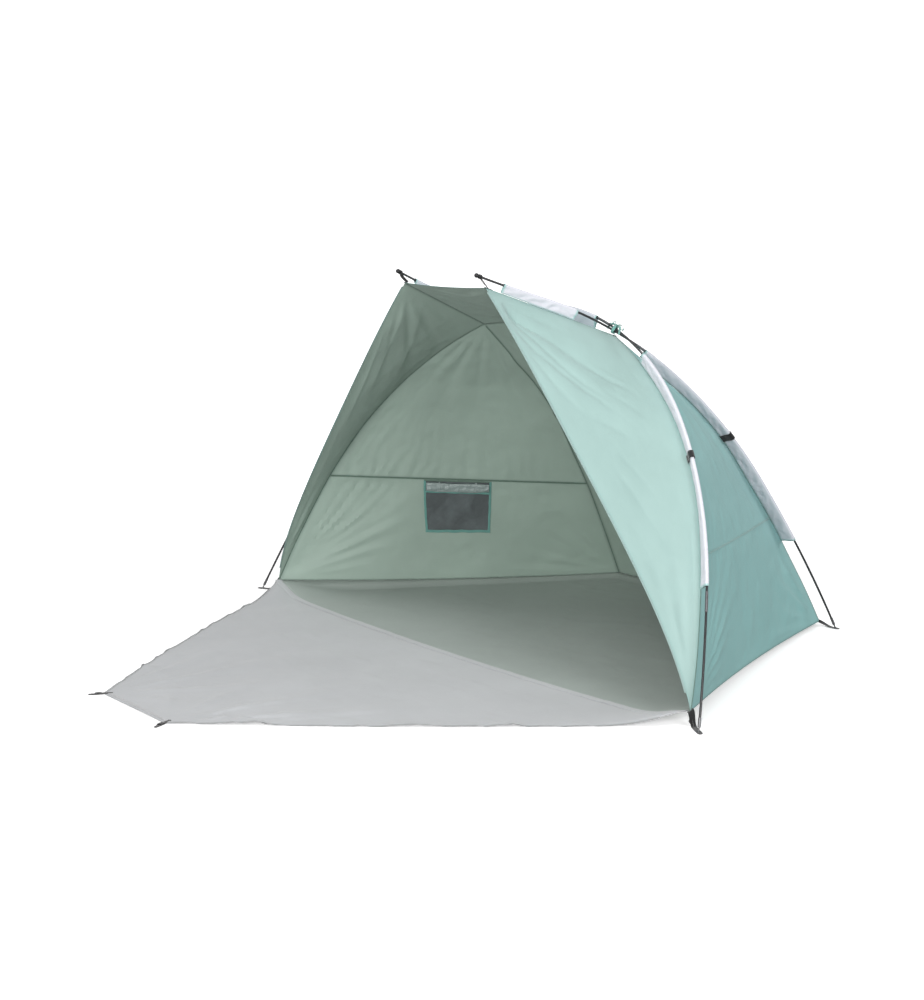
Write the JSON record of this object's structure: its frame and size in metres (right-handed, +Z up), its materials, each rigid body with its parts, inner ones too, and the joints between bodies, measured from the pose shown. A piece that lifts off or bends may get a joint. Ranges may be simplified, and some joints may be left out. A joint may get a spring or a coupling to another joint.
{
  "type": "tarp shelter",
  "caption": "Pole-framed beach shelter with an awning, sleeved canopy, mesh window, sewn-in groundsheet and a fold-out front door lying on the ground as an apron.",
  "frame": {"origin": "on the ground, midway between the two front floor corners, which is also the middle of the footprint", "axes": "+X to the right seen from the front, +Y to the rear, +Z up"},
  "size_m": [2.5622, 2.6178, 1.3319],
  "materials": {
    "canopy_cloth": "thin coated polyester taffeta, mint outside and grey green inside",
    "sleeve_cloth": "pale grey coated polyester",
    "floor_cloth": "grey woven polyethylene groundsheet",
    "door_cloth": "light grey coated polyester",
    "webbing": "black woven webbing",
    "fibreglass": "black fibreglass rod",
    "steel": "plated steel",
    "elastic_cord": "braided elastic cord",
    "cap_plastic": "moulded black plastic",
    "ribbon": "teal woven ribbon",
    "mesh": "fine dark mesh",
    "flap_film": "grey cloth, rolled",
    "zip_tape": "woven zip tape with a coil"
  },
  "bodies": {
    "root": {"arch_pole_crown": "fibreglass", "arch_pole_ferrules": "steel", "arch_pole_foot_left": "fibreglass", "arch_pole_foot_right": "fibreglass", "arch_pole_middle_left": "fibreglass", "arch_pole_middle_right": "fibreglass", "arch_pole_upper_left": "fibreglass", "arch_pole_upper_right": "fibreglass", "arch_shock_cord": "elastic_cord", "arch_sleeve_bands": "webbing", "arch_sleeve_left": "sleeve_cloth", "arch_sleeve_right": "sleeve_cloth", "awning_roof": "canopy_cloth", "awning_sleeve_left": "sleeve_cloth", "awning_sleeve_right": "sleeve_cloth", "back_wall": "canopy_cloth", "corner_eyelets": "steel", "front_corner_tab_left": "webbing", "front_corner_tab_right": "webbing", "groundsheet": "floor_cloth", "long_pole_ferrules": "steel", "long_pole_foot_left": "fibreglass", "long_pole_foot_right": "fibreglass", "long_pole_middle_left": "fibreglass", "long_pole_middle_right": "fibreglass", "long_pole_tip_left": "fibreglass", "long_pole_tip_right": "fibreglass", "long_shock_cord_left": "elastic_cord", "long_shock_cord_right": "elastic_cord", "pole_feet": "steel", "rear_corner_tab_left": "webbing", "rear_corner_tab_right": "webbing", "rear_sleeve_bands": "webbing", "rear_sleeve_left": "sleeve_cloth", "rear_sleeve_right": "sleeve_cloth", "ridge_sleeve": "sleeve_cloth", "ridge_tie_left": "ribbon", "ridge_tie_right": "ribbon", "side_wall_lower_left": "canopy_cloth", "side_wall_lower_right": "canopy_cloth", "side_wall_upper_left": "canopy_cloth", "side_wall_upper_right": "canopy_cloth", "tip_ball_caps": "cap_plastic", "tip_strap_left": "webbing", "tip_strap_right": "webbing", "window_binding": "ribbon", "window_flap_roll": "flap_film", "window_flap_ties": "ribbon", "window_mesh": "mesh", "wing_left": "canopy_cloth", "wing_right": "canopy_cloth", "wing_zip_tape_left": "zip_tape", "wing_zip_tape_right": "zip_tape"},
    "door": {"front_door": "door_cloth", "door_zip_tape_left": "zip_tape", "door_zip_tape_right": "zip_tape", "door_peg_strap_left": "webbing", "door_peg_strap_right": "webbing"}
  },
  "joints": [
    {"name": "front_door_fold", "type": "hinge", "parent": "root", "child": "door", "pos_m": [0, -0.012, 0.002], "axis": [-1, 0, 0], "range_deg": [0, 84]}
  ]
}
